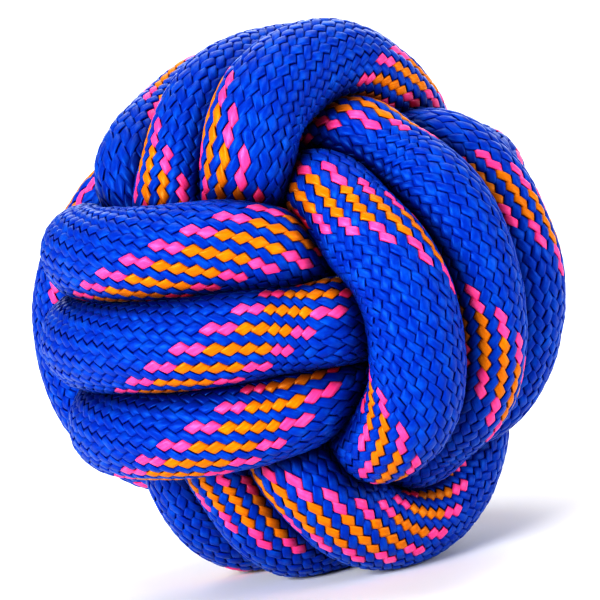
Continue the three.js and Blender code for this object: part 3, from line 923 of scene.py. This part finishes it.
@dataclass
class BraidedCover:
    """The rope's braided cover: yarns on two sets of carriers, each over two and under two.

    Places along a yarn are in crossings from the middle of a float. Floats deep in the knot have
    fewer stations: those within the seen reach of the ball's middle, in rope diameters, and those
    whose way out of the rope leans inward by more than the least lean, in millimetres.
    """

    rope: SoftRope
    middle: Vector
    carriers: int = 28
    lay: float = 43.0
    handed: int = -1
    yarn_width_share: float = 1.14
    yarn_thickness: float = 0.56
    first_float: float = 0.5
    repeat: int = 4
    sink: float = 0.5
    dive_start: float = 0.7
    dive_run: float = 0.5
    crown: float = 0.08
    crown_end: float = 1.3
    unevenness: float = 0.07
    uneven_waves: tuple[Pair, ...] = ((2.3, 1.7), (0.9, 2.9))
    least_lean: float = -2.0
    seen_reach: float = 1.85
    end_margin: float = 2.3
    coloured: tuple[YarnColour, ...] = (
        YarnColour.PINK, YarnColour.PINK,
        YarnColour.ORANGE, YarnColour.ORANGE, YarnColour.ORANGE, YarnColour.ORANGE,
        YarnColour.PINK, YarnColour.PINK,
    )
    fleck_marks: tuple[tuple[float, float, float], ...] = (
        (57, 12.0, 0.2), (120, 21.0, 0.12), (219, 34.0, 0.17), (284, 43.0, 0.14), (374, 56.5, 0.29),
        (442, 62.0, 0.0), (517, 58.8, 0.12), (543, 52.4, -0.35), (612, 49.5, -0.05),
        (672, 46.0, 0.05), (703, 41.0, 0.0), (780, 34.5, -0.1), (854, 26.5, -0.1), (936, 22.0, 0.02),
        (1036, 29.5, 0.25), (1092, 32.0, 0.1), (1117, 28.5, 0.0), (1165, 29.5, 0.05),
        (1211, 31.0, 0.05), (1252, 26.0, -0.07), (1354, 12.0, -0.1), (1422, 2.2, -0.1),
    )
    near_stations: tuple[float, ...] = (-1.2, -0.96, -0.64, 0.0, 0.64, 0.96, 1.2, 2.0)
    far_columns: tuple[int, ...] = (1, 3, 5, 7)
    section: tuple[tuple[float, float], ...] = (
        (1.0, 0.3), (0.86, 0.88), (0.35, 1.0), (-0.35, 1.0), (-0.86, 0.88), (-1.0, 0.3), (0.0, -1.0),
    )
    group_size: int = 4

    @property
    def step(self) -> float:
        """The distance along the rope from one crossing to the next."""
        return self.lay / (2 * self.carriers)

    def twist(self, along: Array) -> Array:
        """How far the braid has turned on the rope's line, so that the flecks fall as tied.

        Args:
            along: Distances along the rope.

        Returns:
            Angles in radians, on a smooth curve through the fleck marks.
        """
        marks, places, drifts = np.array(self.fleck_marks, float).T
        span = np.clip(np.searchsorted(marks, along, side="right") - 1, 0, len(marks) - 2)
        width = marks[span + 1] - marks[span]
        share = (along - marks[span]) / width
        inside = np.clip(share, 0, 1)
        turned = places[span] + (places[span + 1] - places[span]) * smooth_step(share)
        leaving = inside * (1 - inside) ** 2 + np.minimum(share, 0)
        arriving = inside**2 * (1 - inside) - np.maximum(share - 1, 0)
        turned += (drifts[span] * leaving - drifts[span + 1] * arriving) * width
        return turned * 2 * np.pi / self.carriers

    def places(self, run: Array, round_by: Array, height: Array) -> Array:
        """Points at places of the braid's own lattice.

        Args:
            run: Crossings along the rope.
            round_by: Crossings round it; there are two to a carrier.
            height: Heights over the skin.

        Returns:
            The points.
        """
        return self.rope.at(*self.on_rope(run, round_by), height)

    def on_rope(self, run: Array, round_by: Array) -> tuple[Array, Array]:
        """Where a place of the lattice lies on the rope.

        Args:
            run: Crossings along the rope.
            round_by: Crossings round it.

        Returns:
            The distance along the rope's middle and the angle round it.
        """
        low, high = self.end_margin, self.rope.length - self.end_margin
        along = np.clip(run * self.step, low, high)
        return along, self.handed * np.pi * round_by / self.carriers + self.twist(along)

    def shows(self, run: Array, round_by: Array) -> Array:
        """Which places lie on the outside of the ball.

        Args:
            run: Crossings along the rope.
            round_by: Crossings round it.

        Returns:
            True where a float can be seen.
        """
        skin = self.places(run, round_by, np.zeros(np.shape(run)))
        middle = self.places(run, round_by, np.full(np.shape(run), -self.rope.diameter))
        outward = ((skin - middle) * skin).sum(axis=-1)
        far_out = np.linalg.norm(skin, axis=-1)
        leans_out = outward > self.least_lean * far_out
        return leans_out & (far_out > self.seen_reach * self.rope.diameter)

    def yarn(self, number: int, leads: bool, first: int) -> Solid:
        """One carrier's yarn through the whole rope.

        Args:
            number: The carrier's number in its set.
            leads: True for the set that winds with the flecks, False for the set that crosses it.
            first: The number of the yarn's first point.

        Returns:
            The yarn as a closed tube.
        """
        sign = 1 if leads else -1
        offset = 2 * number
        centre = self.first_float + (0 if leads else self.repeat / 2)
        end = (self.rope.length - self.end_margin) / self.step
        start = self.end_margin / self.step
        bounds = sorted((sign * start + offset, sign * end + offset))
        low, high = ((bound - centre) / self.repeat for bound in bounds)
        middles = self.repeat * np.arange(math.floor(low) - 1, math.ceil(high) + 1) + centre
        showing = self.shows(sign * (middles - offset), middles)
        stations = middles[:, None] + np.array(self.near_stations)[None, :]
        kept = np.zeros(stations.shape, bool)
        kept[:, list(self.far_columns)] = True
        kept |= showing[:, None]
        away = np.abs(np.broadcast_to(np.array(self.near_stations), stations.shape)[kept])
        stations = stations[kept]
        inside = (stations > bounds[0]) & (stations < bounds[1])
        stations, away = stations[inside], away[inside]
        if sign < 0:
            stations, away = stations[::-1], away[::-1]
        level = -self.sink * smooth_step((away - self.dive_start) / self.dive_run)
        level -= self.crown * np.minimum(away, self.crown_end) ** 2
        waves = [np.sin(along * stations + beside * number) for along, beside in self.uneven_waves]
        level += self.unevenness * np.prod(waves, axis=0)
        across = np.array([x for x, _ in self.section]) * self.yarn_width_share / 2
        thick = np.array([y for _, y in self.section]) * self.yarn_thickness / 2
        run = sign * (stations - offset)
        shape = (len(stations), len(self.section))
        rings = self.places(
            run[:, None] - sign * across[None, :] * np.ones(shape),
            stations[:, None] + across[None, :] * np.ones(shape),
            level[:, None] + thick[None, :] - self.yarn_thickness / 2 + self.crown,
        )
        around = np.arange(len(self.section) + 1) / len(self.section)
        if sign * self.handed > 0:
            rings, around = rings[:, ::-1], around[-2] - around
        # How deep each ring lies in a hollow, which sets its painted shade.
        hollows = self.rope.read(self.rope.hollows, *self.on_rope(run, stations))
        return tube(rings, first, stations - centre, around, np.broadcast_to(hollows[:, None], shape))

    def set_of_yarns(self, numbers: list[int], leads: bool) -> Solid:
        """Several carriers' yarns as one solid.

        Args:
            numbers: The carriers.
            leads: Which set they belong to.

        Returns:
            The joined yarns.
        """
        yarns: list[Solid] = []
        first = 0
        for number in numbers:
            yarns.append(self.yarn(number, leads, first))
            first += len(yarns[-1].points)
        return joined(yarns)

    def build(self) -> list[bpy.types.Object]:
        """Builds every yarn and dresses it.

        Returns:
            The cover's pieces.
        """
        materials = {colour: colour.value.material() for colour in YarnColour}
        worn_by: dict[YarnColour, list[int]] = {colour: [] for colour in YarnColour}
        plain = [YarnColour.BLUE] * (self.carriers - len(self.coloured))
        for number, colour in enumerate([*self.coloured, *plain]):
            worn_by[colour].append(number)
        plans = [
            (f"{colour.name.lower()}_fleck_yarns", colour, worn_by[colour], True)
            for colour in (YarnColour.PINK, YarnColour.ORANGE)
        ]
        crossing = list(range(self.carriers))
        for word, numbers in (("leading", worn_by[YarnColour.BLUE]), ("crossing", crossing)):
            for k in range(0, len(numbers), self.group_size):
                name = f"blue_{word}_yarns_{k // self.group_size + 1}"
                group = numbers[k : k + self.group_size]
                plans.append((name, YarnColour.BLUE, group, word == "leading"))
        return [
            self.set_of_yarns(numbers, leads).build(
                name, self.middle, materials[colour], "rope_cover", "cover_yarn"
            )
            for name, colour, numbers, leads in plans
        ]


# The core's deep colour is painted shade at the edges of each lobe; its float end lies past every
# place, so none falls along it.
CORE_FINISH = YarnFinish(
    "core_yarn", deep=(0.55, 0.52, 0.44), bright=(0.82, 0.80, 0.73),
    wear_and_glint=(0.9, 0.88, 0.8), rim=(1.0, 1.0, 0.9), roughness=0.8, float_end=4.0,
)


@dataclass
class RopeCore:
    """The bundle of undyed core yarn inside the cover."""

    rope: SoftRope
    middle: Vector
    depth: float = 1.75
    strands: int = 9
    lobe: float = 0.28
    lobe_fullness: float = 0.7
    twist_length: float = 90.0
    spacing: float = 1.5
    sides: int = 36
    end_margin: float = 2.3

    def build(self) -> bpy.types.Object:
        """Builds the bundle as one lobed, slowly twisted length.

        Returns:
            The core.
        """
        usable = self.rope.length - 2 * self.end_margin
        along = self.end_margin + np.linspace(0, usable, round(usable / self.spacing) + 1)
        turn = angles_round(self.sides)
        lay = 2 * np.pi * along / self.twist_length
        lobes = np.abs(np.sin((turn[None, :] - lay[:, None]) * self.strands / 2))
        height = -self.depth - self.lobe * (1 - lobes**self.lobe_fullness)
        place = np.broadcast_to(along[:, None], height.shape)
        rings = self.rope.at(place, np.broadcast_to(turn[None, :], height.shape), height)
        solid = tube(rings, 0, along, np.linspace(0, self.strands, self.sides + 1))
        material = CORE_FINISH.material()
        return solid.build("core_bundle", self.middle, material, "rope_core", "core_yarn")


@dataclass(frozen=True)
class MeltedFinish:
    """Yarn fused by heat: dark, smooth and slightly blistered."""

    name: str = "melted_yarn"
    colour: Colour = (0.004, 0.012, 0.10)
    scorched: Colour = (0.012, 0.008, 0.02)
    blister_grain: Grain = Grain(900.0, 4.0)
    blister_strength: float = 0.6
    blister_depth: float = 0.0003
    roughness: float = 0.3

    def material(self) -> bpy.types.Material:
        """Builds the finish.

        Returns:
            The material.
        """
        nodes = NodeTree(self.name)
        blisters = nodes.noise(self.blister_grain, nodes.on_piece())
        return nodes.finish(
            {
                "Base Color": nodes.mix(blisters, self.colour, self.scorched),
                "Roughness": self.roughness,
                "Normal": nodes.bump(blisters, self.blister_strength, self.blister_depth),
            }
        )


@dataclass
class SealedEnd:
    """A heat-sealed end of the rope: a short plug of melted yarn with a domed, lumpy face."""

    rope: SoftRope
    middle: Vector
    node: str
    at_start: bool
    length: float = 2.0
    sides: int = 48
    steps: int = 14
    dome: float = 3.0
    tip_width: float = 0.02
    lump: float = 0.12
    lump_counts: tuple[int, int] = (5, 3)
    lump_drift: float = 4.0
    inset: float = 0.35

    def build(self, material: bpy.types.Material) -> bpy.types.Object:
        """Builds the plug on the rope's own end.

        Args:
            material: The melted finish.

        Returns:
            The plug.
        """
        share = np.linspace(0, 1, self.steps + 1)
        depth = self.length * np.sin(share * np.pi / 2)
        width = np.sqrt(np.maximum(1 - (depth / self.length) ** self.dome, self.tip_width**2))
        along = self.length - depth
        if not self.at_start:
            along = self.rope.length - along
        turn = angles_round(self.sides)
        many, few = (count * turn[None, :] for count in self.lump_counts)
        lumps = self.lump * np.sin(many) * np.sin(few + self.lump_drift * share[:, None])
        shape = (self.steps + 1, self.sides)
        place = np.broadcast_to(along[:, None], shape)
        about = np.broadcast_to(turn[None, :], shape)
        skin = self.rope.at(place, about, lumps - self.inset)
        centre = self.rope.at(place, about, np.zeros(shape)).mean(axis=1, keepdims=True)
        rings = centre + (skin - centre) * width[:, None, None]
        if self.at_start:
            rings = rings[::-1]
        solid = tube(rings, 0, share, np.linspace(0, 1, self.sides + 1))
        name = self.node.replace("seal", "melted_plug")
        return solid.build(name, self.middle, material, self.node, "melted_yarn")


@dataclass(frozen=True)
class WoodFinish:
    """Plain sanded wood with growth rings."""

    name: str = "filler_wood"
    light: Colour = (0.62, 0.43, 0.24)
    dark: Colour = (0.40, 0.24, 0.11)
    ring_scale: float = 180.0
    ring_distortion: float = 3.0
    ring_detail: float = 2.0
    roughness: float = 0.6

    def material(self) -> bpy.types.Material:
        """Builds the finish.

        Returns:
            The material.
        """
        nodes = NodeTree(self.name)
        inputs = {"Vector": nodes.on_piece(), "Scale": self.ring_scale}
        inputs |= {"Distortion": self.ring_distortion, "Detail": self.ring_detail}
        rings = nodes.add("ShaderNodeTexWave", inputs, wave_type="RINGS")
        colour = nodes.mix(rings.outputs[1], self.light, self.dark)
        return nodes.finish({"Base Color": colour, "Roughness": self.roughness})


@dataclass
class FillerBall:
    """The small turned ball in the middle of the knot."""

    middle: Vector
    radius: float
    sides: int = 48
    steps: int = 24
    pole_cut: float = 0.02
    seat_drop: float = 0.12

    def build(self) -> bpy.types.Object:
        """Builds the ball with the faint flat that turning leaves at each end of its axis.

        Returns:
            The ball.
        """
        height = np.linspace(self.pole_cut, 1 - self.pole_cut, self.steps + 1) * np.pi
        turn = angles_round(self.sides)
        out = np.minimum(self.radius, (self.radius - self.seat_drop) / np.abs(np.cos(height)))
        wide, deep = (out * np.sin(height))[:, None], (-out * np.cos(height))[:, None]
        sides = np.broadcast_arrays(wide * np.cos(turn), wide * np.sin(turn), deep)
        solid = tube(np.stack(sides, axis=-1), 0, height, np.linspace(0, 1, self.sides + 1))
        material = WoodFinish().material()
        return solid.build("turned_filler_ball", self.middle, material, "filler_ball", "filler")


@dataclass(frozen=True)
class Lamp:
    """A soft square lamp that faces the ball.

    Its place is in metres from the ball, as the camera sees it: to the right, up, and towards the
    camera. Its size is its side in metres.
    """

    name: str
    across: float
    above: float
    towards: float
    size: float
    watts: float

    def build(self, middle: Vector, right: Vector, back: Vector) -> None:
        """Hangs the lamp and turns it to the ball.

        Args:
            middle: The middle of the ball.
            right: The camera's right.
            back: The way from the ball to the camera.
        """
        level_right, level_back = (Vector((way.x, way.y, 0.0)).normalized() for way in (right, back))
        data = bpy.data.lights.new(self.name, "AREA")
        data.size = self.size
        data.energy = self.watts
        lamp = bpy.data.objects.new(self.name, data)
        way = level_right * self.across + level_back * self.towards + Vector((0, 0, self.above))
        lamp.location = middle + way
        lamp.rotation_euler = way.to_track_quat("Z", "Y").to_euler()
        bpy.context.scene.collection.objects.link(lamp)


@dataclass
class Studio:
    """A plain pale floor, soft light, and a camera at the photograph's angle."""

    middle: Vector
    azimuth: float = 44.87
    elevation: float = 8.36
    roll: float = -9.38
    distance: float = 0.84
    rope_width_px: float = 94.0
    rope_width: float = 0.012
    middle_px: Pair = (303.0, 294.0)
    sensor_width: float = 36.0
    seen_range: Pair = (0.01, 50.0)
    floor_size: float = 8.0
    floor_colour: Colour = (0.82, 0.82, 0.82)
    floor_cloud: float = 0.99
    floor_grain: Grain = Grain(3.0, 2.0)
    floor_roughness: float = 0.8
    world_colour: Colour = (1.0, 1.0, 1.0)
    world_strength: float = 0.2
    lamps: tuple[Lamp, ...] = (
        Lamp("key_lamp", -1.5, 0.8, 1.8, 1.0, 84.0),
        Lamp("fill_lamp", 2.1, 0.4, 0.8, 1.4, 42.0),
        Lamp("top_lamp", 0.2, 2.7, -0.3, 1.8, 38.0),
        Lamp("back_lamp", 0.4, 1.1, -2.3, 2.4, 36.0),
    )

    def axes(self) -> tuple[Vector, Vector, Vector]:
        """Works out which ways the camera faces.

        Returns:
            The camera's right, up and back directions.
        """
        a, e, r = (math.radians(v) for v in (self.azimuth, self.elevation, self.roll))
        back = Vector((math.sin(a) * math.cos(e), -math.cos(a) * math.cos(e), math.sin(e)))
        level = Vector((math.cos(a), math.sin(a), 0.0))
        upright = back.cross(level)
        right = level * math.cos(r) + upright * math.sin(r)
        return right, back.cross(right), back

    def camera(self) -> None:
        """Makes the camera and aims it, so that the ball falls where the photograph has it."""
        right, up, back = self.axes()
        data = bpy.data.cameras.new("camera")
        data.sensor_width = self.sensor_width
        px_per_metre = self.rope_width_px / self.rope_width
        data.lens = data.sensor_width * px_per_metre * self.distance / IMAGE_PX
        data.shift_x = (IMAGE_PX / 2 - self.middle_px[0]) / IMAGE_PX
        data.shift_y = (self.middle_px[1] - IMAGE_PX / 2) / IMAGE_PX
        data.clip_start, data.clip_end = self.seen_range
        place = self.middle + back * self.distance
        stand = bpy.data.objects.new("camera", data)
        stand.matrix_world = Matrix.Translation(place) @ Matrix((right, up, back)).transposed().to_4x4()
        bpy.context.scene.collection.objects.link(stand)
        bpy.context.scene.camera = stand

    def floor(self) -> None:
        """Lays the pale floor under the ball."""
        half = self.floor_size / 2
        corners = [(x * half, y * half, 0.0) for x, y in ((-1, -1), (1, -1), (1, 1), (-1, 1))]
        mesh = bpy.data.meshes.new("floor")
        mesh.from_pydata(corners, [], [(0, 1, 2, 3)])
        nodes = NodeTree("pale_floor")
        clouded = tuple(self.floor_cloud * part for part in self.floor_colour)
        shade = nodes.mix(nodes.noise(self.floor_grain), self.floor_colour, clouded)
        mesh.materials.append(nodes.finish({"Base Color": shade, "Roughness": self.floor_roughness}))
        ground = bpy.data.objects.new("floor", mesh)
        bpy.context.scene.collection.objects.link(ground)

    def build(self) -> None:
        """Sets up the whole studio."""
        self.floor()
        right, _, back = self.axes()
        for lamp in self.lamps:
            lamp.build(self.middle, right, back)
        world = bpy.data.worlds.new("studio")
        world.use_nodes = True
        background = world.node_tree.nodes["Background"]
        background.inputs[0].default_value = (*self.world_colour, 1.0)
        background.inputs[1].default_value = self.world_strength
        bpy.context.scene.world = world
        bpy.context.scene.view_settings.view_transform = "Standard"
        bpy.context.scene.view_settings.look = "High Contrast"
        self.camera()
        log.info("studio: a floor, %d lamps and a camera", len(self.lamps))


def main() -> None:
    """Builds the studio and the ball in order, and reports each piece."""
    logging.basicConfig(level=logging.INFO, format="%(name)s: %(message)s")
    low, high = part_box("filler_ball")
    middle = (low + high) / 2
    rope = SoftRope(rest_depth=middle.z / METRES_PER_MM)
    log.info("rope: %.0f mm long", rope.length)
    Studio(middle).build()
    pieces = BraidedCover(rope, middle).build()
    pieces.append(RopeCore(rope, middle).build())
    melted = MeltedFinish().material()
    for node, at_start in (("start_end_seal", True), ("finish_end_seal", False)):
        pieces.append(SealedEnd(rope, middle, node, at_start).build(melted))
    pieces.append(FillerBall(middle, rope.ball_radius).build())
    for piece in pieces:
        log.info("%s: %d points", piece.name, len(piece.data.vertices))


if __name__ == "__main__":
    main()
